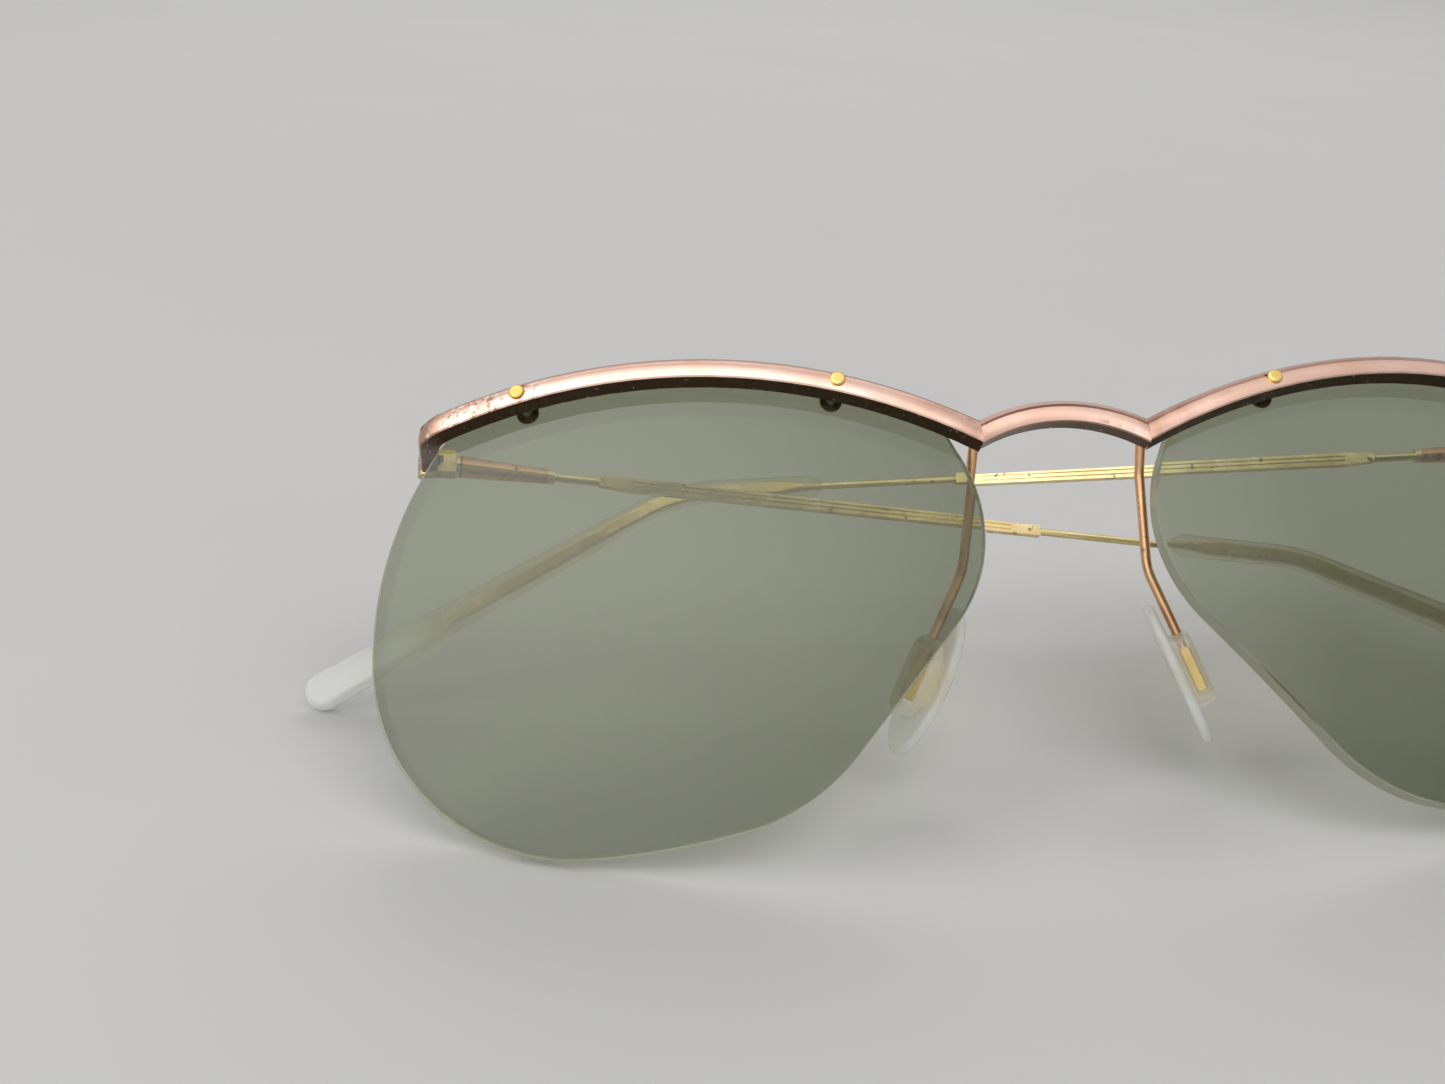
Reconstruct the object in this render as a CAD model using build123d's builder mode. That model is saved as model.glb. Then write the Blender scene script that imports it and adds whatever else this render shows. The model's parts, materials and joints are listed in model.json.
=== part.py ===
from build123d import *
from math import cos, radians, sin, sqrt
import os

# Folding sunglasses with a brow bar: two rimless glass lenses hang from one shaped metal bar.
# Millimetres, +Z up.  The pair lies folded, front up, on its lens rims and its temple tips, and
# the table is the plane z = 0.  Left and right are those of someone facing the front.

# ---- how the pair lies -------------------------------------------------------------------
front_tilt = 50.8  # angle between the front and the table
depth_shift = -0.4  # puts the middle of the footprint on the origin

# ---- lenses ------------------------------------------------------------------------------
lens_curve = 88.0  # radius of the front surface, a six-base curve
lens_thickness = 1.9
lens_middle_x = 35.0  # middle of a lens, from the middle of the nose
lens_middle_y = -17.0
face_wrap = 10.0  # turn of each lens about its upright axis
lens_nose_x = 8.9
lens_widest = (61.6, -19.3)  # where the outer edge stands upright
lens_lowest = (43.7, -37.2)
lens_lower_inner = (31.0, -35.9)
lens_turn_inner = (21.2, -30.2)
lens_nasal = (11.5, -19.0)
lens_nose_top_y = -3.0
lens_outer_corner_x = 53.0
lens_corner_cut = (0.75, 1.6)  # the two steps of the cut corner at the nose
lens_edge_bevel = 0.15

# ---- brow bar ----------------------------------------------------------------------------
bar_height = 2.1
bar_depth = 1.9
bar_radius = 61.3  # arch of the bar over each lens
bar_apex = (36.0, 4.85)
bar_dip_x = 8.0  # where arch and bridge meet
bar_overlap = 2.0  # both run this far past the mitre before they are cut
bar_band = 0.55  # height of the upper bevelled band
bar_band_set_back = 0.5
bar_crown = 0.12  # bulge of the lower band
bar_groove = 0.12  # fine line between the bands
bar_arch_end_x = 53.2
bar_standoff = 0.4  # room for the washers between bar and lens
bar_lens_inset = 0.15  # the top of the lens stays this far below the top of the bar
bridge_rise = 0.25  # middle of the bridge above the origin of the front
end_bend_radius = 2.6
end_bend_run = 2.9

# ---- lens rivets -------------------------------------------------------------------------
rivet_x = (20.5, 47.8)
rivet_shank_radius = 0.35
rivet_head_radius = 0.72
rivet_head_height = 0.32
rivet_head_round = 0.25
rivet_clearance = 0.05
washer_radius = 0.85
washer_gap = 0.03
backing_radius = 1.0
backing_thickness = 0.3

# ---- nose pads ---------------------------------------------------------------------------
pad_wire_radius = 0.45
pad_wire_neck = (8.0, -4.4, -2.9)
pad_wire_elbow = (8.9, -12.6, -6.2)
pad_wire_bends = [2.5, 6.0, 2.0]
pad_lead = 1.5
pad_centre = (12.0, -21.85, -9.6)
pad_length = 14.2
pad_width = 7.0
pad_thickness = 1.0
pad_round = 0.4
pad_axis = (6.2, -12.5, -4.2)
pad_splay = 15.0
boss_length = 7.4
boss_width = 3.0
boss_height = 1.9
boss_round = 0.45
insert_length = 4.4
insert_width = 1.3
insert_height = 1.0
insert_chamfer = 0.12
insert_clearance = 0.03

# ---- hinges ------------------------------------------------------------------------------
hinge_x = 56.0
hinge_y = 2.3
hinge_back = 18.4  # hinge axis behind the front of the bridge
hinge_lean = 3.4  # both axes lean the same way, so the folded temples pass one another
knuckle_radius = 1.2
tongue_height = 0.9
tongue_width = 1.7
fork_plate = 0.55
hinge_play = 0.05
hinge_end_gap = 0.25
braze_gap = 0.04
screw_radius = 0.5
screw_head_radius = 0.95
screw_head_height = 0.4
screw_slot = 0.22
screw_clearance = 0.03

# ---- temples -----------------------------------------------------------------------------
temple_drop = 3.8  # fall of the opened temple
fork_end = 2.6
ferrule_start = 2.7
wire_root = 6.0
ferrule_end = 11.9
ferrule_radius = 1.05
ferrule_end_radius = 0.68
neck_end = 16.2
neck_radius = 0.42
strip_lead = 3.0
strip_end = 59.7
strip_height = 1.3
strip_end_height = 1.0
strip_thickness = 0.85
flute_depth = 0.14
flute_width = 0.2
flute_spacing = 0.43
wire_radius = 0.36
core_lead = 3.0
core_start = 77.5
core_end = 114.0
core_height = 1.25
core_thickness = 0.7
core_round = 0.21
tip_start = 73.2
ear_bend_start = 83.5
ear_bend = {"left": 17.2, "right": 27.3}  # each temple was bent to fit its own ear
ear_bend_radius = 18.0
tip_end = 129.2
tip_height = 2.1
tip_thickness = 2.0
tip_nose = 0.9
tip_nose_height = 1.05
paddle_height = 3.7
tip_round = 0.8
core_clearance = 0.03

sides = {"left": -1, "right": 1}
pieces = {}


def finish(piece, name):
    piece.label = name
    pieces[name] = piece
    export_step(piece, f"parts/{name}.step")


os.makedirs("parts", exist_ok=True)

# ---- the front's own frame: x to the right, y towards the brow, z out of the front --------
sphere_x = lens_middle_x - lens_curve * sin(radians(face_wrap))
sphere_z = -sqrt(lens_curve**2 - (lens_middle_x - sphere_x) ** 2)
bar_centre = (bar_apex[0], bar_apex[1] - bar_radius)


def lens_surface(x, y, radius=lens_curve):
    """Height of a lens surface above the front's own plane."""
    return sphere_z + sqrt(radius**2 - (abs(x) - sphere_x) ** 2 - (y - lens_middle_y) ** 2)


def arch_y(x, radius=bar_radius):
    return bar_centre[1] + sqrt(radius**2 - (x - bar_centre[0]) ** 2)


lens_top_radius = bar_radius + bar_height / 2 - bar_lens_inset


def lens_outline():
    """Outline of the right lens: the top follows the bar, the rest is arcs in one sweep."""
    outer_corner = (lens_outer_corner_x, arch_y(lens_outer_corner_x, lens_top_radius))
    nose_top = (lens_nose_x + lens_corner_cut[0], lens_nose_top_y)
    inner_x = nose_top[0] + lens_corner_cut[1]
    inner_corner = (inner_x, arch_y(inner_x, lens_top_radius))
    top_middle = (bar_apex[0], arch_y(bar_apex[0], lens_top_radius))
    with BuildLine() as outline:
        TangentArc(lens_widest, outer_corner, tangent=(0, 1))
        lower = TangentArc(lens_widest, lens_lowest, tangent=(0, -1))
        inner = TangentArc(lens_lowest, lens_lower_inner, tangent=lower % 1)
        turn = TangentArc(lens_lower_inner, lens_turn_inner, tangent=inner % 1)
        nasal = TangentArc(lens_turn_inner, lens_nasal, tangent=turn % 1)
        TangentArc(lens_nasal, nose_top, tangent=nasal % 1)
        Line(nose_top, inner_corner)
        ThreePointArc(inner_corner, top_middle, outer_corner)
    return Wire(outline.edges())


outline_right = lens_outline()
tilt = radians(front_tilt)
rim_samples = 400
floor_drop = -min(
    p.Y * sin(tilt) + (lens_surface(p.X, p.Y, lens_curve - lens_thickness)) * cos(tilt)
    for p in (outline_right @ (i / rim_samples) for i in range(rim_samples))
)
front = Plane(origin=(0, depth_shift, floor_drop), x_dir=(1, 0, 0), z_dir=(0, -sin(tilt), cos(tilt)))


def at(x, y, z):
    return front.from_local_coords(Vector(x, y, z))


def along(x, y, z):
    return at(x, y, z) - at(0, 0, 0)


# ---- lenses --------------------------------------------------------------------------------
def lens_normal(x, y):
    return Vector(x - sphere_x, y - lens_middle_y, lens_surface(x, y) - sphere_z).normalized()


def bar_point(x, y):
    """Point on the bar's centre line, in front of the lens."""
    normal = lens_normal(x, y)
    lift = bar_standoff + bar_depth / 2
    return Vector(x, y, lens_surface(x, y)) + normal * lift


def rivet_plane(x):
    """Plane at the middle of the bar's depth, facing out along the rivet."""
    y = arch_y(x)
    normal = lens_normal(x, y)
    return Plane(origin=at(*bar_point(x, y)), x_dir=along(1, 0, 0), z_dir=along(*normal))


slab_back = -25.0
slab_depth = 30.0
with BuildPart() as lens_right:
    with BuildSketch(front.offset(slab_back)):
        with BuildLine():
            add(outline_right)
        make_face()
    extrude(amount=slab_depth)
    with Locations(at(sphere_x, lens_middle_y, sphere_z)):
        Sphere(lens_curve, mode=Mode.INTERSECT)
        Sphere(lens_curve - lens_thickness, mode=Mode.SUBTRACT)
    skins = lens_right.faces().filter_by(GeomType.SPHERE)
    chamfer(skins.edges(), lens_edge_bevel)
    for x in rivet_x:
        with BuildSketch(rivet_plane(x).offset(-bar_depth)):
            Circle(rivet_shank_radius + 2 * rivet_clearance)
        extrude(amount=2 * lens_thickness, both=True, mode=Mode.SUBTRACT)
finish(lens_right.part, "lens_right")
finish(mirror(lens_right.part, about=Plane.YZ), "lens_left")

# ---- brow bar ------------------------------------------------------------------------------
arch_start_x = bar_dip_x - bar_overlap


def bar_path_right():
    """Arch over the right lens, the bend round its corner and the run back to the hinge."""
    start = bar_point(arch_start_x, arch_y(arch_start_x))
    middle = bar_point(lens_middle_x, arch_y(lens_middle_x))
    end = bar_point(bar_arch_end_x, arch_y(bar_arch_end_x))
    with BuildLine() as path:
        arch = ThreePointArc(at(*start), at(*middle), at(*end))
        corner = arch @ 1 + (arch % 1) * end_bend_run
        back = at(hinge_x, hinge_y, -hinge_back + knuckle_radius + hinge_end_gap)
        FilletPolyline(arch @ 1, corner, back, radius=end_bend_radius)
    return Wire(path.edges())


def bar_profile(path, outward):
    """Section of the bar across the start of a path, bevelled band above, crowned band below."""
    plane = Plane(origin=path @ 0, x_dir=outward, z_dir=path % 0)
    up = 1 if plane.y_dir.dot(along(0, 1, 0)) > 0 else -1
    half_d = bar_depth / 2
    half_h = bar_height / 2
    band_y = half_h - bar_band
    with BuildSketch(plane) as profile:
        with BuildLine():
            Polyline(
                (half_d - bar_crown, -up * (half_h - bar_groove)),
                (half_d - bar_crown - bar_groove, -up * half_h),
                (-half_d, -up * half_h),
                (-half_d, up * half_h),
                (half_d - bar_band_set_back, up * half_h),
                (half_d - bar_groove, up * (band_y + bar_groove)),
                (half_d - 2 * bar_groove, up * band_y),
                (half_d - bar_crown, up * (band_y - bar_groove)),
            )
            ThreePointArc(
                (half_d - bar_crown, up * (band_y - bar_groove)),
                (half_d, -up * (half_h - band_y - bar_groove) / 2),
                (half_d - bar_crown, -up * (half_h - bar_groove)),
            )
        make_face()
    return profile.sketch


right_path = bar_path_right()
arch_profile = bar_profile(right_path, along(*lens_normal(arch_start_x, arch_y(arch_start_x))))
dip = bar_point(bar_dip_x, arch_y(bar_dip_x))
with BuildLine() as bridge_path:
    bridge_arc = ThreePointArc(
        at(-dip.X, dip.Y, dip.Z), at(0, bridge_rise, dip.Z), at(dip.X, dip.Y, dip.Z)
    )
    over_left = (bridge_arc @ 0) - (bridge_arc % 0) * bar_overlap
    over_right = (bridge_arc @ 1) + (bridge_arc % 1) * bar_overlap
    Line(over_left, bridge_arc @ 0)
    Line(bridge_arc @ 1, over_right)
bridge_line = Wire(bridge_path.edges())
bridge_profile = bar_profile(bridge_line, along(0, 0, 1))

with BuildPart() as bridge:
    sweep(sections=bridge_profile, path=bridge_line)
    split(bisect_by=Plane(origin=at(*dip), z_dir=(-1, 0, 0)), keep=Keep.TOP)
    split(bisect_by=Plane(origin=at(-dip.X, dip.Y, dip.Z), z_dir=(1, 0, 0)), keep=Keep.TOP)

with BuildPart() as brow_bar:
    sweep(sections=arch_profile, path=right_path)
    split(bisect_by=Plane(origin=at(*dip), z_dir=(1, 0, 0)), keep=Keep.TOP)
    for x in rivet_x:
        with BuildSketch(rivet_plane(x)):
            Circle(rivet_shank_radius + rivet_clearance)
        extrude(amount=bar_depth, both=True, mode=Mode.SUBTRACT)
    mirror(about=Plane.YZ)
    add(bridge.part)
finish(brow_bar.part, "brow_bar")

# ---- rivets and washers that hang each lens on the bar -------------------------------------
lens_front_z = -bar_depth / 2 - bar_standoff
lens_back_z = lens_front_z - lens_thickness
backing_z = lens_back_z - washer_gap - backing_thickness
for position, x in zip(("inner", "outer"), rivet_x):
    plane = rivet_plane(x)
    with BuildPart() as rivet:
        with BuildSketch(plane.offset(backing_z)):
            Circle(rivet_shank_radius)
        extrude(amount=bar_depth / 2 - backing_z)
        with BuildSketch(plane.offset(bar_depth / 2)):
            Circle(rivet_head_radius)
        extrude(amount=rivet_head_height)
        with BuildSketch(plane.offset(backing_z - rivet_head_height)):
            Circle(rivet_head_radius)
        extrude(amount=rivet_head_height)
        rims = rivet.edges().filter_by(GeomType.CIRCLE).group_by(SortBy.RADIUS)[-1]
        rims = rims.sort_by(Axis(plane.origin, plane.z_dir))
        fillet([rims[0], rims[-1]], rivet_head_round)
    with BuildPart() as washers:
        with BuildSketch(plane.offset(-bar_depth / 2 - washer_gap)):
            Circle(washer_radius)
            Circle(rivet_shank_radius + rivet_clearance, mode=Mode.SUBTRACT)
        extrude(amount=-(bar_standoff - 2 * washer_gap))
        with BuildSketch(plane.offset(backing_z)):
            Circle(backing_radius)
            Circle(rivet_shank_radius + rivet_clearance, mode=Mode.SUBTRACT)
        extrude(amount=backing_thickness)
    finish(rivet.part, f"lens_rivet_{position}_right")
    finish(mirror(rivet.part, about=Plane.YZ), f"lens_rivet_{position}_left")
    finish(washers.part, f"rivet_washers_{position}_right")
    finish(mirror(washers.part, about=Plane.YZ), f"rivet_washers_{position}_left")

# ---- nose pads -----------------------------------------------------------------------------
pad_down = Vector(*pad_axis).normalized()
pad_face = Vector(cos(radians(pad_splay)), 0, sin(radians(pad_splay)))
pad_out = (pad_face - pad_down * pad_face.dot(pad_down)).normalized()
pad_plane = Plane(origin=at(*pad_centre), x_dir=along(*pad_down), z_dir=along(*pad_out))
insert_plane = pad_plane.offset(pad_thickness / 2 + boss_height / 2)
wire_end = insert_plane.from_local_coords(Vector(-insert_length / 2, 0, 0))
boss_end = insert_plane.from_local_coords(Vector(-boss_length / 2, 0, 0))
boss_lead = insert_plane.from_local_coords(Vector(-boss_length / 2 - pad_lead, 0, 0))

with BuildPart() as pad_arm:
    solder_z = dip.Z - bar_depth / 2 - pad_wire_radius
    with BuildLine() as pad_route:
        FilletPolyline(
            at(dip.X, dip.Y + bar_height / 4, solder_z),
            at(*pad_wire_neck),
            at(*pad_wire_elbow),
            boss_lead,
            wire_end,
            radius=pad_wire_bends,
        )
    with BuildSketch(Plane(origin=pad_route.line @ 0, z_dir=pad_route.line % 0)):
        Circle(pad_wire_radius)
    sweep(path=Wire(pad_route.edges()))
finish(pad_arm.part, "pad_arm_right")
finish(mirror(pad_arm.part, about=Plane.YZ), "pad_arm_left")

with BuildPart() as pad_insert:
    with BuildSketch(insert_plane.offset(-insert_height / 2)):
        Rectangle(insert_length, insert_width)
    extrude(amount=insert_height)
    chamfer(pad_insert.edges(), insert_chamfer)
finish(pad_insert.part, "pad_insert_right")
finish(mirror(pad_insert.part, about=Plane.YZ), "pad_insert_left")

with BuildPart() as nose_pad:
    with BuildSketch(pad_plane.offset(-pad_thickness / 2)):
        Ellipse(pad_length / 2, pad_width / 2)
    extrude(amount=pad_thickness)
    fillet(nose_pad.edges(), pad_round)
    with BuildSketch(pad_plane):
        SlotOverall(boss_length, boss_width)
    extrude(amount=pad_thickness / 2 + boss_height)
    boss_top = nose_pad.faces().sort_by(Axis(pad_plane.origin, pad_plane.z_dir))[-1]
    fillet(boss_top.edges(), boss_round)
    with BuildSketch(insert_plane.offset(-insert_height / 2 - insert_clearance)):
        Rectangle(insert_length + 2 * insert_clearance, insert_width + 2 * insert_clearance)
    extrude(amount=insert_height + 2 * insert_clearance, mode=Mode.SUBTRACT)
    with BuildSketch(Plane(origin=wire_end, z_dir=boss_end - wire_end)):
        Circle(pad_wire_radius + insert_clearance)
    extrude(amount=boss_length, mode=Mode.SUBTRACT)
finish(nose_pad.part, "nose_pad_right")
finish(mirror(nose_pad.part, about=Plane.YZ), "nose_pad_left")

# ---- temples -------------------------------------------------------------------------------
drop = radians(temple_drop)
bend_length = {side: ear_bend_radius * radians(ear_bend[side]) for side in sides}


def temple_point(side, s, lift=0.0):
    """Point at a length s along a temple, lifted off its centre line, in the temple's plane."""
    bend = bend_length[side]
    turned = min(max(s - ear_bend_start, 0.0), bend) / ear_bend_radius
    straight = min(s, ear_bend_start)
    beyond = max(s - ear_bend_start - bend, 0.0)
    slope = drop + turned
    x = straight * cos(drop) + ear_bend_radius * (sin(slope) - sin(drop)) + beyond * cos(slope)
    y = -straight * sin(drop) - ear_bend_radius * (cos(drop) - cos(slope)) - beyond * sin(slope)
    return (x + lift * sin(slope), y + lift * cos(slope))


def hinge_frame(side, fold):
    """Plane of a temple: x along it from the hinge, y up the hinge axis."""
    hand = sides[side]
    lean = radians(hinge_lean)
    axis = Vector(sin(lean), cos(lean), 0)
    inward = Vector(-hand * cos(radians(fold)), 0, -sin(radians(fold)))
    inward = (inward - axis * inward.dot(axis)).normalized()
    return Plane(
        origin=at(hand * hinge_x, hinge_y, -hinge_back),
        x_dir=along(*inward),
        z_dir=along(*inward.cross(axis)),
    )


def tip_height_above_table(side, fold):
    """Height of the lowest point of the rounded end of a temple."""
    plane = hinge_frame(side, fold)
    x, y = temple_point(side, tip_end - paddle_height / 2)
    middle = plane.from_local_coords(Vector(x, y, 0))
    in_plane = sqrt(plane.x_dir.Z**2 + plane.y_dir.Z**2)
    reach = (paddle_height / 2 - tip_round) * in_plane
    reach += (tip_thickness / 2 - tip_round) * abs(plane.z_dir.Z) + tip_round
    return middle.Z - reach


def fold_to_table(side):
    """Fold of a temple, in degrees past parallel, at which its tip rests on the table."""
    low = -15.0
    high = 30.0
    halvings = 40
    for _ in range(halvings):
        middle = (low + high) / 2
        if tip_height_above_table(side, middle) > 0:
            low = middle
        else:
            high = middle
    return (low + high) / 2


for side, hand in sides.items():
    fold = fold_to_table(side)
    plane = hinge_frame(side, fold)
    hinge = Plane(origin=plane.origin, x_dir=plane.x_dir, z_dir=plane.y_dir)
    leaf = Plane(origin=plane.origin, x_dir=along(0, 0, 1), z_dir=plane.y_dir)
    reach = knuckle_radius + hinge_end_gap
    tongue_reach = reach - braze_gap
    fork_z = tongue_height / 2 + hinge_play
    fork_height = fork_z + fork_plate
    print(side, "fold", round(fold, 2), "axis at", plane.origin, "direction", plane.y_dir)

    with BuildPart() as tongue:
        with BuildSketch(leaf.offset(-tongue_height / 2)):
            Circle(knuckle_radius)
            with Locations((tongue_reach / 2, 0)):
                Rectangle(tongue_reach, tongue_width)
            Circle(screw_radius + screw_clearance, mode=Mode.SUBTRACT)
        extrude(amount=tongue_height)
    finish(tongue.part, f"hinge_tongue_{side}")

    with BuildPart() as fork:
        for start in (fork_z, -fork_height):
            with BuildSketch(hinge.offset(start)):
                Circle(knuckle_radius)
                with Locations((fork_end / 2, 0)):
                    Rectangle(fork_end, 2 * ferrule_radius)
                Circle(screw_radius + screw_clearance, mode=Mode.SUBTRACT)
            extrude(amount=fork_plate)
        with BuildSketch(hinge.offset(-fork_height)):
            with Locations(((reach + fork_end) / 2, 0)):
                Rectangle(fork_end - reach, 2 * ferrule_radius)
        extrude(amount=2 * fork_height)
    finish(fork.part, f"hinge_fork_{side}")

    with BuildPart() as screw:
        with BuildSketch(hinge.offset(-fork_height)):
            Circle(screw_radius)
        extrude(amount=2 * fork_height)
        with BuildSketch(hinge.offset(fork_height)):
            Circle(screw_head_radius)
        extrude(amount=screw_head_height)
        with BuildSketch(hinge.offset(fork_height + screw_head_height / 2)):
            Rectangle(2 * screw_head_radius, screw_slot)
        extrude(amount=screw_head_height, mode=Mode.SUBTRACT)
    finish(screw.part, f"hinge_screw_{side}")

    arm = Plane(
        origin=plane.origin,
        x_dir=plane.z_dir,
        z_dir=plane.x_dir * cos(drop) - plane.y_dir * sin(drop),
    )
    with BuildPart() as ferrule:
        with BuildSketch(arm.offset(ferrule_start)):
            Circle(ferrule_radius)
        with BuildSketch(arm.offset(ferrule_end)):
            Circle(ferrule_end_radius)
        loft()
        with BuildSketch(arm.offset(wire_root)):
            Circle(neck_radius + core_clearance)
        extrude(amount=ferrule_end, mode=Mode.SUBTRACT)
    finish(ferrule.part, f"temple_ferrule_{side}")

    with BuildLine(plane) as bent:
        Line(temple_point(side, core_start), temple_point(side, ear_bend_start))
        ThreePointArc(
            temple_point(side, ear_bend_start),
            temple_point(side, ear_bend_start + bend_length[side] / 2),
            temple_point(side, ear_bend_start + bend_length[side]),
        )
        Line(temple_point(side, ear_bend_start + bend_length[side]), temple_point(side, core_end))
    core_line = Wire(bent.edges())
    with BuildPart() as wire:
        with BuildSketch(arm.offset(wire_root)):
            Circle(neck_radius)
        extrude(amount=neck_end - wire_root)
        for start, end, first, last in (
            (neck_end, neck_end + strip_lead, 2 * neck_radius, strip_height),
            (neck_end + strip_lead, strip_end, strip_height, strip_end_height),
        ):
            with BuildSketch(arm.offset(start)):
                Rectangle(strip_thickness, first)
            with BuildSketch(arm.offset(end)):
                Rectangle(strip_thickness, last)
            loft()
        for face in (-1, 1):
            for row in (-1, 1):
                with BuildSketch(arm.offset(neck_end + strip_lead)):
                    with Locations((face * strip_thickness / 2, row * flute_spacing / 2)):
                        Rectangle(2 * flute_depth, flute_width)
                extrude(amount=strip_end - neck_end - 2 * strip_lead, mode=Mode.SUBTRACT)
        with BuildSketch(arm.offset(strip_end)):
            Circle(wire_radius)
        extrude(amount=core_start - core_lead - strip_end)
        with BuildSketch(arm.offset(core_start - core_lead)):
            Circle(wire_radius)
        with BuildSketch(arm.offset(core_start)):
            RectangleRounded(core_thickness, core_height, core_round)
        loft()
        with BuildSketch(arm.offset(core_start)):
            RectangleRounded(core_thickness, core_height, core_round)
        sweep(path=core_line)
    finish(wire.part, f"temple_wire_{side}")

    half = tip_height / 2
    half_nose = tip_nose_height / 2
    half_paddle = paddle_height / 2
    bend_end = ear_bend_start + bend_length[side]
    bend_middle = ear_bend_start + bend_length[side] / 2
    with BuildPart() as tip:
        with BuildSketch(plane):
            with BuildLine():
                for up in (1, -1):
                    Polyline(
                        temple_point(side, tip_start, 0),
                        temple_point(side, tip_start, up * half_nose),
                        temple_point(side, tip_start + tip_nose, up * half),
                        temple_point(side, ear_bend_start, up * half),
                    )
                    ThreePointArc(
                        temple_point(side, ear_bend_start, up * half),
                        temple_point(side, bend_middle, up * half),
                        temple_point(side, bend_end, up * half),
                    )
                    Line(
                        temple_point(side, bend_end, up * half),
                        temple_point(side, tip_end - half_paddle, up * half_paddle),
                    )
                ThreePointArc(
                    temple_point(side, tip_end - half_paddle, half_paddle),
                    temple_point(side, tip_end),
                    temple_point(side, tip_end - half_paddle, -half_paddle),
                )
            make_face()
        extrude(amount=tip_thickness / 2, both=True)
        skins = tip.faces().sort_by(Axis(plane.origin, plane.z_dir))
        fillet(skins[0].edges() + skins[-1].edges(), tip_round)
        with BuildSketch(arm.offset(tip_start - tip_nose)):
            Circle(wire_radius + core_clearance)
        extrude(amount=core_start - tip_start + tip_nose, mode=Mode.SUBTRACT)
        with BuildSketch(arm.offset(core_start - core_lead)):
            Circle(wire_radius + core_clearance)
        with BuildSketch(arm.offset(core_start)):
            RectangleRounded(
                core_thickness + 2 * core_clearance,
                core_height + 2 * core_clearance,
                core_round,
            )
        loft(mode=Mode.SUBTRACT)
        with BuildSketch(arm.offset(core_start)):
            RectangleRounded(
                core_thickness + 2 * core_clearance,
                core_height + 2 * core_clearance,
                core_round,
            )
        sweep(path=core_line, mode=Mode.SUBTRACT)
    finish(tip.part, f"temple_tip_{side}")

box = Compound(children=list(pieces.values())).bounding_box()
print("whole pair", box.min, box.max)
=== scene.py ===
import json
from math import cos, radians, sin

import bmesh
import bpy
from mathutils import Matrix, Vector

# Vintage sunglasses with a brow bar, lying folded on a table.
# The frame carries every piece; this script dresses them, lights them and places the camera.

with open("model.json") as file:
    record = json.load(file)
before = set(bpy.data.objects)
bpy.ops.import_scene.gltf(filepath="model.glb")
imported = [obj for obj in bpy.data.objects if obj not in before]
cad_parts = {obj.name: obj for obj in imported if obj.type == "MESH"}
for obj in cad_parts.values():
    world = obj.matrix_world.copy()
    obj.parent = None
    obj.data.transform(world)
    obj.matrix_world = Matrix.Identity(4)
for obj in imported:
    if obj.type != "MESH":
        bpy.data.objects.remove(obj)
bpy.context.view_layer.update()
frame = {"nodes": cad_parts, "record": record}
nodes = frame["nodes"]
mm = 0.001
print("frame loaded:", len(nodes), "nodes")


# ---- camera, table and light ----

camera = {
    "place": (-0.0590, -0.1648, 0.0910),
    "turn": (67.452, -2.557, -8.832),  # degrees about x, y and z
    "lens": 49.95,
}

table = {
    "width": 16.0,
    "colour": (0.74, 0.735, 0.725),
    "shade": (0.69, 0.685, 0.675),
    "cloudSize": 14.0,
    "roughness": (0.45, 0.6),
}

lamps = {
    "frontSky": {"place": (0.10, -0.42, 0.62), "size": (0.60, 0.40), "watts": 1.7},
    "backSky": {"place": (0.10, 0.62, 0.50), "size": (0.70, 0.30), "watts": 1.3},
    "leftWindow": {"place": (-0.60, -0.10, 0.35), "size": (0.40, 0.40), "watts": 1.3},
}

studio = {
    "seen": 0.66,
    "fill": 0.30,
    "window": (-0.62, -0.52, 0.58),  # direction of the broad window that the lenses mirror
    "windowLevel": 1.8,
    "skyLevel": 0.95,
    "horizonLevel": 0.25,
}


def newMaterial(name):
    material = bpy.data.materials.new(name)
    material.use_nodes = True
    tree = material.node_tree
    return material, tree, tree.nodes["Principled BSDF"]


def addNode(tree, kind, values=None, **settings):
    node = tree.nodes.new(kind)
    for key, value in settings.items():
        setattr(node, key, value)
    for key, value in (values or {}).items():
        node.inputs[key].default_value = value
    return node


def objectNoise(tree, scale, detail=3.0, roughness=0.5, stretch=(1, 1, 1), distortion=0.0):
    coords = addNode(tree, "ShaderNodeTexCoord")
    mapping = addNode(tree, "ShaderNodeMapping", {"Scale": stretch})
    noise = addNode(
        tree,
        "ShaderNodeTexNoise",
        {"Scale": scale, "Detail": detail, "Roughness": roughness, "Distortion": distortion},
    )
    tree.links.new(coords.outputs["Object"], mapping.inputs["Vector"])
    tree.links.new(mapping.outputs["Vector"], noise.inputs["Vector"])
    return noise.outputs["Fac"]


def ramp(tree, source, stops):
    node = addNode(tree, "ShaderNodeValToRGB")
    elements = node.color_ramp.elements
    while len(elements) < len(stops):
        elements.new(0.5)
    for element, (position, colour) in zip(elements, stops):
        element.position = position
        element.color = (*colour, 1.0)
    tree.links.new(source, node.inputs["Fac"])
    return node.outputs["Color"]


def remap(tree, source, low, high, toLow, toHigh):
    node = addNode(
        tree,
        "ShaderNodeMapRange",
        {"From Min": low, "From Max": high, "To Min": toLow, "To Max": toHigh},
    )
    tree.links.new(source, node.inputs["Value"])
    return node.outputs["Result"]


def mixColour(tree, factor, first, second):
    node = addNode(tree, "ShaderNodeMix", data_type="RGBA")
    tree.links.new(factor, node.inputs["Factor"])
    for socket, value in ((node.inputs[6], first), (node.inputs[7], second)):
        if isinstance(value, tuple):
            socket.default_value = (*value, 1.0)
        else:
            tree.links.new(value, socket)
    return node.outputs[2]


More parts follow.
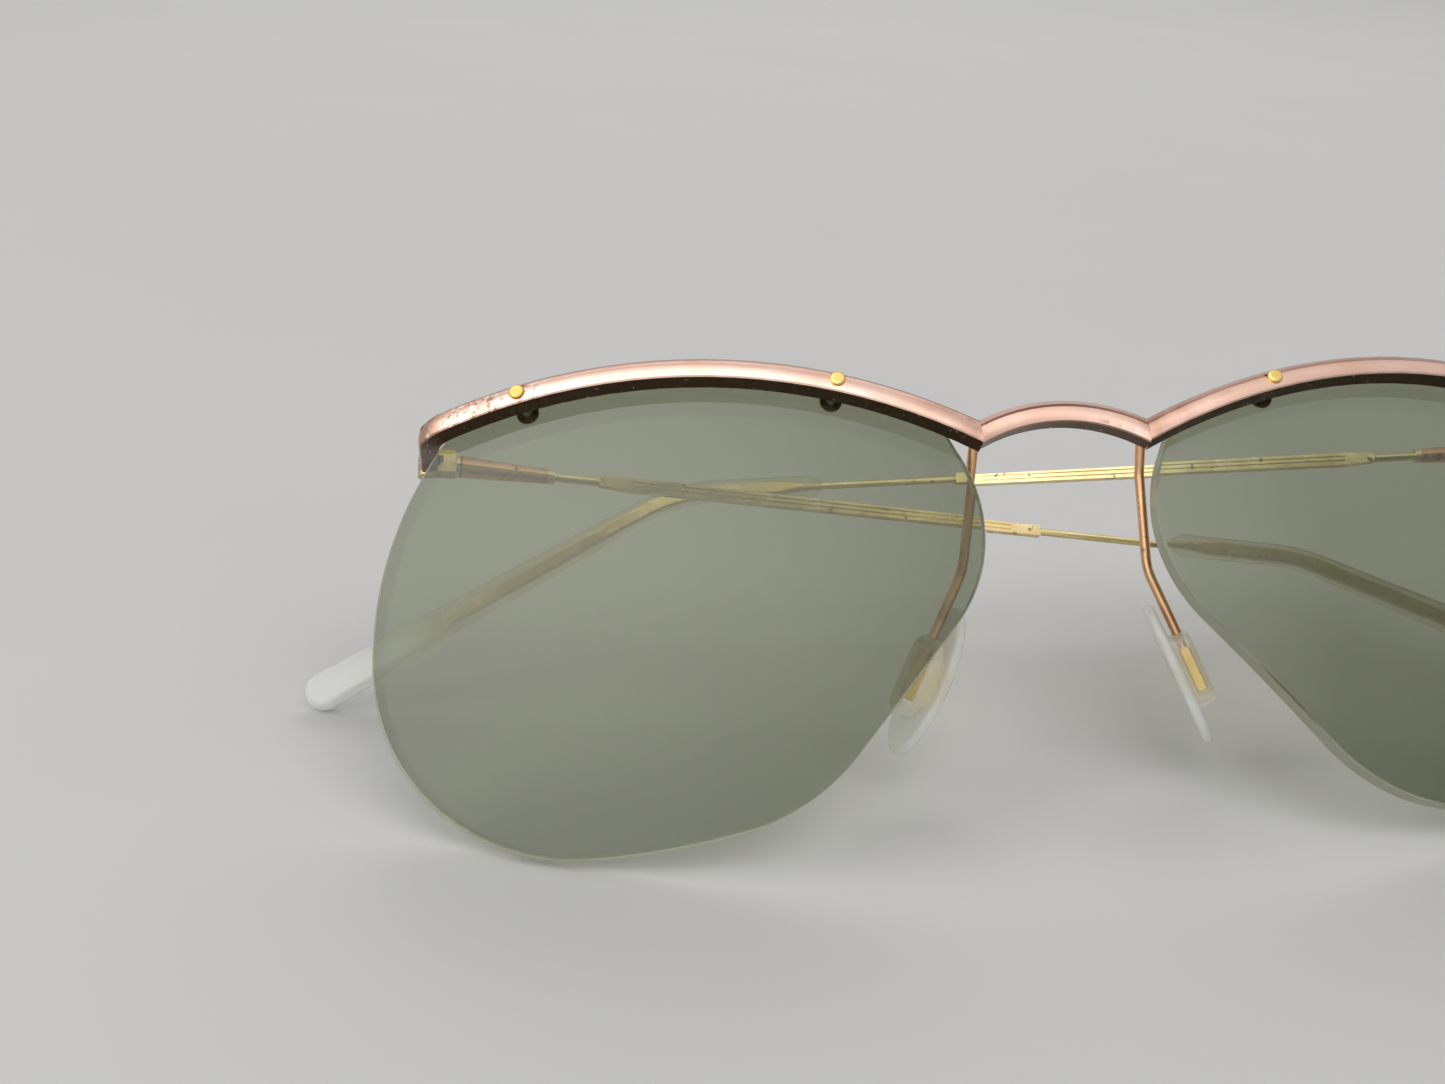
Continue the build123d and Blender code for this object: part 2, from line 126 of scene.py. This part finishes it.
def calculate(tree, operation, first, second=0.0):
    node = addNode(tree, "ShaderNodeMath", operation=operation)
    for socket, value in zip(node.inputs, (first, second)):
        if isinstance(value, (int, float)):
            socket.default_value = value
        else:
            tree.links.new(value, socket)
    return node.outputs[0]


def component(tree, direction, space="Object"):
    coords = addNode(tree, "ShaderNodeTexCoord")
    dot = addNode(tree, "ShaderNodeVectorMath", operation="DOT_PRODUCT")
    tree.links.new(coords.outputs[space], dot.inputs[0])
    dot.inputs[1].default_value = direction
    return dot.outputs["Value"]


def distanceFrom(tree, point):
    coords = addNode(tree, "ShaderNodeTexCoord")
    measure = addNode(tree, "ShaderNodeVectorMath", operation="DISTANCE")
    tree.links.new(coords.outputs["Object"], measure.inputs[0])
    measure.inputs[1].default_value = point
    return measure.outputs["Value"]


def evened(tree, clouds):
    return remap(tree, clouds, 0.3, 0.7, 0.0, 1.0)


def specks(tree, scale, low, high):
    return remap(tree, objectNoise(tree, scale, detail=4.0, roughness=0.6), low, high, 0.0, 1.0)


def bump(tree, shader, height, strength, distance):
    node = addNode(tree, "ShaderNodeBump", {"Strength": strength, "Distance": distance})
    tree.links.new(height, node.inputs["Height"])
    tree.links.new(node.outputs["Normal"], shader.inputs["Normal"])


def makeCamera():
    data = bpy.data.cameras.new("camera")
    data.lens = camera["lens"]
    data.sensor_width = 36.0
    data.clip_start = 0.005
    data.clip_end = 20.0
    holder = bpy.data.objects.new("camera", data)
    holder.location = camera["place"]
    holder.rotation_euler = [radians(angle) for angle in camera["turn"]]
    bpy.context.scene.collection.objects.link(holder)
    bpy.context.scene.camera = holder


def makeTable():
    mesh = bmesh.new()
    bmesh.ops.create_grid(mesh, x_segments=1, y_segments=1, size=table["width"] / 2)
    data = bpy.data.meshes.new("table")
    mesh.to_mesh(data)
    mesh.free()
    top = bpy.data.objects.new("table", data)
    bpy.context.scene.collection.objects.link(top)
    material, tree, shader = newMaterial("paleTable")
    clouds = objectNoise(tree, table["cloudSize"], detail=5.0)
    colour = mixColour(tree, clouds, table["colour"], table["shade"])
    tree.links.new(colour, shader.inputs["Base Color"])
    tree.links.new(remap(tree, clouds, 0.3, 0.7, *table["roughness"]), shader.inputs["Roughness"])
    data.materials.append(material)


def makeLamps():
    for name, lamp in lamps.items():
        data = bpy.data.lights.new(name, "AREA")
        data.shape = "RECTANGLE"
        data.size, data.size_y = lamp["size"]
        data.energy = lamp["watts"]
        holder = bpy.data.objects.new(name, data)
        holder.location = lamp["place"]
        holder.rotation_euler = (-Vector(lamp["place"])).to_track_quat("-Z", "Y").to_euler()
        holder.visible_glossy = False  # the soft window of the studio is mirrored instead
        holder.visible_transmission = False
        bpy.context.scene.collection.objects.link(holder)


def makeStudio():
    world = bpy.data.worlds.new("studio")
    world.use_nodes = True
    bpy.context.scene.world = world
    tree = world.node_tree
    background = tree.nodes["Background"]
    background.inputs["Color"].default_value = (1.0, 0.995, 0.985, 1.0)
    path = addNode(tree, "ShaderNodeLightPath")
    towards = component(tree, Vector(studio["window"]).normalized(), "Generated")
    window = remap(tree, towards, 0.35, 1.0, 0.0, studio["windowLevel"])
    height = component(tree, (0, 0, 1), "Generated")
    upward = remap(tree, height, -0.2, 0.9, studio["horizonLevel"], studio["skyLevel"])
    mirrored = calculate(tree, "ADD", window, upward)
    plain = addNode(tree, "ShaderNodeMath", operation="MAXIMUM")
    tree.links.new(path.outputs["Is Camera Ray"], plain.inputs[0])
    tree.links.new(path.outputs["Is Transmission Ray"], plain.inputs[1])
    level = remap(tree, plain.outputs[0], 0.0, 1.0, studio["fill"], studio["seen"])
    blend = addNode(tree, "ShaderNodeMix", data_type="FLOAT")
    tree.links.new(path.outputs["Is Glossy Ray"], blend.inputs[0])
    tree.links.new(level, blend.inputs[2])
    tree.links.new(mirrored, blend.inputs[3])
    tree.links.new(blend.outputs[0], background.inputs["Strength"])


makeCamera()
makeTable()
makeLamps()
makeStudio()
bpy.context.scene.view_settings.view_transform = "Standard"
print("camera, table and light are in place")


# ---- materials ----

tilt = radians(50.8)  # of the front to the table
browWay = (0.0, cos(tilt), sin(tilt))  # up the front, from the lenses to the bar
outWay = (0.0, -sin(tilt), cos(tilt))  # out of the front, towards the viewer

roseGold = {
    "pink": (0.86, 0.62, 0.53),
    "copper": (0.74, 0.47, 0.36),
    # darker mauve for the upper band, partly the plating's tone and partly painted shade
    "mauveShade": (0.60, 0.43, 0.42),
    "patina": (0.42, 0.22, 0.14),
    "silver": (0.74, 0.70, 0.66),
    # near black, painted as shade on the underside of the bar
    "tarnishAndShade": (0.12, 0.07, 0.045),
    "dipFromNose": 9.2 * mm,
    "dipReach": 4.5 * mm,
    "endsFrom": 50 * mm,
    "pitsBeyond": -47 * mm,
    "roughness": (0.20, 0.36),
}


def roseGoldMaterial():
    material, tree, shader = newMaterial("roseGoldPlate")
    clouds = objectNoise(tree, 140.0, detail=6.0)
    across = component(tree, (1, 0, 0))
    fromNose = calculate(tree, "ABSOLUTE", across)
    pastDip = calculate(tree, "SUBTRACT", fromNose, roseGold["dipFromNose"])
    dip = remap(tree, calculate(tree, "ABSOLUTE", pastDip), 0.0, roseGold["dipReach"], 0.75, 0.0)
    ends = remap(tree, fromNose, roseGold["endsFrom"], roseGold["endsFrom"] + 7 * mm, 0.0, 0.7)
    handled = calculate(tree, "MAXIMUM", dip, ends)
    worn = calculate(tree, "MULTIPLY", handled, specks(tree, 420.0, 0.32, 0.62))
    pitEdge = roseGold["pitsBeyond"]
    pitZone = remap(tree, across, pitEdge - 3 * mm, pitEdge + 2 * mm, 1.0, 0.0)
    pits = calculate(tree, "MULTIPLY", pitZone, specks(tree, 1500.0, 0.54, 0.59))
    holes = calculate(tree, "MULTIPLY", pitZone, specks(tree, 1700.0, 0.56, 0.6))
    # faces turned up the front, the upper band of the bar, are painted darker mauve: partly the
    # plating's tone, partly painted shade
    upperPaintedShade = remap(tree, component(tree, browWay, "Normal"), 0.35, 0.75, 0.0, 0.6)
    # painted shade: faces turned down, the underside of the bar, go near black, and silver chips
    # are speckled over it
    lowerPaintedShade = remap(tree, component(tree, browWay, "Normal"), -0.8, -0.5, 1.0, 0.0)
    chips = calculate(tree, "MULTIPLY", lowerPaintedShade, specks(tree, 1900.0, 0.66, 0.7))
    plating = mixColour(tree, evened(tree, clouds), roseGold["pink"], roseGold["copper"])
    plating = mixColour(tree, upperPaintedShade, plating, roseGold["mauveShade"])
    brushed = objectNoise(tree, 900.0, detail=5.0, stretch=(0.05, 1, 1))
    streaks = remap(tree, brushed, 0.45, 0.7, 0.0, 0.45)
    plating = mixColour(tree, streaks, plating, roseGold["copper"])
    plating = mixColour(tree, worn, plating, roseGold["patina"])
    plating = mixColour(tree, pits, plating, roseGold["silver"])
    plating = mixColour(tree, holes, plating, roseGold["patina"])
    plating = mixColour(tree, lowerPaintedShade, plating, roseGold["tarnishAndShade"])
    plating = mixColour(tree, chips, plating, roseGold["silver"])
    tree.links.new(plating, shader.inputs["Base Color"])
    shader.inputs["Metallic"].default_value = 1.0
    polish = remap(tree, clouds, 0.3, 0.7, *roseGold["roughness"])
    dulled = calculate(tree, "MULTIPLY", calculate(tree, "MAXIMUM", worn, pits), 0.16)
    tree.links.new(calculate(tree, "ADD", polish, dulled), shader.inputs["Roughness"])
    drawn = objectNoise(tree, 1600.0, detail=4.0, stretch=(0.08, 1, 1))
    height = calculate(tree, "SUBTRACT", drawn, calculate(tree, "MULTIPLY", pits, 0.8))
    bump(tree, shader, height, 0.30, 0.04 * mm)
    return material


gold = {
    "bright": (0.88, 0.74, 0.42),
    "deep": (0.73, 0.57, 0.27),
    "tarnishAndShade": (0.24, 0.15, 0.07),
    "roughness": (0.20, 0.38),
}


def goldMaterial(name, plate, relief=0.03 * mm):
    material, tree, shader = newMaterial(name)
    clouds = objectNoise(tree, 300.0, detail=6.0)
    spots = specks(tree, 900.0, 0.62, 0.7)
    plating = mixColour(tree, evened(tree, clouds), plate["bright"], plate["deep"])
    tree.links.new(mixColour(tree, spots, plating, plate["tarnishAndShade"]), shader.inputs["Base Color"])
    shader.inputs["Metallic"].default_value = 1.0
    polish = remap(tree, clouds, 0.3, 0.7, *plate["roughness"])
    dulled = calculate(tree, "MULTIPLY", spots, 0.2)
    tree.links.new(calculate(tree, "ADD", polish, dulled), shader.inputs["Roughness"])
    bump(tree, shader, objectNoise(tree, 2200.0, detail=4.0, stretch=(0.15, 1, 1)), 0.25, relief)
    return material


rivet = {
    "bright": (0.92, 0.70, 0.26),
    "deep": (0.70, 0.45, 0.13),
    "tarnishAndShade": (0.28, 0.14, 0.05),
    "roughness": (0.24, 0.42),
}

fork = {
    "bright": (0.66, 0.52, 0.27),
    "deep": (0.48, 0.36, 0.18),
    "tarnishAndShade": (0.20, 0.13, 0.07),
    "roughness": (0.28, 0.45),
}


copper = {
    "bright": (0.84, 0.52, 0.30),
    "deep": (0.66, 0.35, 0.19),
    "tarnishAndShade": (0.20, 0.11, 0.07),
    "ring": (0.86, 0.72, 0.40),
    "rings": ((2.6 * mm, 3.2 * mm), (11.3 * mm, 12.1 * mm)),  # distances from the hinge
    "joint": 0.15 * mm,
    "roughness": (0.22, 0.40),
}


def band(tree, distance, start, end):
    soft = 0.05 * mm
    rise = remap(tree, distance, start - soft, start + soft, 0.0, 1.0)
    fall = remap(tree, distance, end - soft, end + soft, 1.0, 0.0)
    return calculate(tree, "MULTIPLY", rise, fall)


def copperMaterial(name, hinge=None):
    material, tree, shader = newMaterial(name)
    clouds = objectNoise(tree, 320.0, detail=6.0)
    wire = mixColour(tree, evened(tree, clouds), copper["bright"], copper["deep"])
    brazed = specks(tree, 700.0, 0.60, 0.68)
    wire = mixColour(tree, brazed, wire, copper["tarnishAndShade"])
    if hinge:
        distance = distanceFrom(tree, hinge)
        for start, end in copper["rings"]:
            wire = mixColour(tree, band(tree, distance, start, end), wire, copper["ring"])
            joint = band(tree, distance, end, end + copper["joint"])
            wire = mixColour(tree, joint, wire, copper["tarnishAndShade"])
    tree.links.new(wire, shader.inputs["Base Color"])
    shader.inputs["Metallic"].default_value = 1.0
    tree.links.new(remap(tree, clouds, 0.3, 0.7, *copper["roughness"]), shader.inputs["Roughness"])
    bump(tree, shader, objectNoise(tree, 2400.0, detail=4.0), 0.22, 0.03 * mm)
    return material


glass = {
    "tint": (0.30, 0.33, 0.23),
    "lighter": (0.34, 0.37, 0.27),
    "groundEdge": (0.66, 0.68, 0.50),
    "smudge": 0.004,
}


def glassMaterial():
    material, tree, shader = newMaterial("greyGreenGlass")
    facing = calculate(tree, "ABSOLUTE", component(tree, outWay, "Normal"))
    edge = remap(tree, facing, 0.5, 0.7, 1.0, 0.0)
    body = mixColour(tree, objectNoise(tree, 30.0, detail=2.0), glass["tint"], glass["lighter"])
    tree.links.new(mixColour(tree, edge, body, glass["groundEdge"]), shader.inputs["Base Color"])
    fingers = objectNoise(tree, 90.0, detail=5.0, distortion=0.6)
    smudges = remap(tree, fingers, 0.6, 0.85, 0.0, glass["smudge"])
    ground = calculate(tree, "MULTIPLY", edge, 0.35)
    tree.links.new(calculate(tree, "ADD", smudges, ground), shader.inputs["Roughness"])
    tree.links.new(remap(tree, edge, 0.0, 1.0, 1.0, 0.55), shader.inputs["Transmission Weight"])
    shader.inputs["IOR"].default_value = 1.52
    return material


plastic = {
    "cream": (0.96, 0.91, 0.74),
    "milky": (0.93, 0.95, 0.955),
    "yellowed": (0.88, 0.78, 0.50),
    "milkyFrom": (106 * mm, 122 * mm),  # distances from the hinge
    "clearWithin": (2.6 * mm, 4.2 * mm),  # distances from the middle of the cast-in metal
    "castIn": 1.1,  # low, so the metal cast into the plastic shows through its clearance
    "roughness": (0.10, 0.26),
}


def plasticMaterial(name, milkiness, hinge=None, insert=None):
    material, tree, shader = newMaterial(name)
    clouds = objectNoise(tree, 160.0, detail=5.0)
    yellowing = remap(tree, clouds, 0.35, 0.7, 0.0, 0.7)
    aged = mixColour(tree, yellowing, plastic["cream"], plastic["yellowed"])
    veins = objectNoise(tree, 120.0, detail=3.0)
    milky = remap(tree, veins, 0.3, 0.7, milkiness - 0.15, milkiness + 0.15)
    if hinge:
        paddle = remap(tree, distanceFrom(tree, hinge), *plastic["milkyFrom"], 0.0, 0.9)
        milky = calculate(tree, "MAXIMUM", milky, paddle)
    if insert:
        boss = remap(tree, distanceFrom(tree, insert), *plastic["clearWithin"], 0.05, 1.0)
        milky = calculate(tree, "MULTIPLY", milky, boss)
    tree.links.new(mixColour(tree, milky, aged, plastic["milky"]), shader.inputs["Base Color"])
    tree.links.new(remap(tree, milky, 0.0, 1.0, 0.94, 0.30), shader.inputs["Transmission Weight"])
    tree.links.new(remap(tree, clouds, 0.3, 0.7, *plastic["roughness"]), shader.inputs["Roughness"])
    shader.inputs["IOR"].default_value = plastic["castIn"]
    shader.inputs["Coat Weight"].default_value = 0.9
    shader.inputs["Coat Roughness"].default_value = 0.08
    bump(tree, shader, objectNoise(tree, 1200.0, detail=4.0), 0.12, 0.03 * mm)
    return material


fibre = {"dark": (0.16, 0.11, 0.075), "light": (0.30, 0.21, 0.14)}


def fibreMaterial():
    material, tree, shader = newMaterial("washerFibre")
    grain = objectNoise(tree, 2500.0, detail=5.0)
    colour = mixColour(tree, grain, fibre["dark"], fibre["light"])
    tree.links.new(colour, shader.inputs["Base Color"])
    tree.links.new(remap(tree, grain, 0.3, 0.7, 0.55, 0.8), shader.inputs["Roughness"])
    bump(tree, shader, grain, 0.3, 0.04 * mm)
    return material


joints = frame["record"]["behaviour"]["joints"]
hinges = {joint["child"].split("_")[1]: tuple(joint["pos_m"]) for joint in joints}
finishes = {
    "rose_gold": roseGoldMaterial(),
    "yellow_gold": goldMaterial("yellowGoldPlate", gold),
    "copper_wire": copperMaterial("copperWire"),
    "grey_green_glass": glassMaterial(),
    "washer_fibre": fibreMaterial(),
}
def middleOf(node):
    corners = [vertex.co for vertex in node.data.vertices]
    return tuple((min(c[i] for c in corners) + max(c[i] for c in corners)) / 2 for i in range(3))


rivetFinish = goldMaterial("rivetGold", rivet, 0.06 * mm)
forkFinish = goldMaterial("dullGold", fork)
special = {}
for side, hinge in hinges.items():
    special["temple_ferrule_" + side] = copperMaterial(side + "Ferrule", hinge)
    special["temple_tip_" + side] = plasticMaterial(side + "TipPlastic", 0.08, hinge)
    middle = middleOf(nodes["pad_insert_" + side])
    special["nose_pad_" + side] = plasticMaterial(side + "PadPlastic", 0.85, insert=middle)
    special["hinge_fork_" + side] = forkFinish
    special["lens_rivet_inner_" + side] = rivetFinish
    special["lens_rivet_outer_" + side] = rivetFinish
slots = {s["node"]: s["material_slot"] for s in frame["record"]["subparts"]}
for name, node in nodes.items():
    node.material_slots[0].material = special.get(name) or finishes[slots[name]]
print("materials are on", len(nodes), "nodes")

bpy.context.view_layer.update()
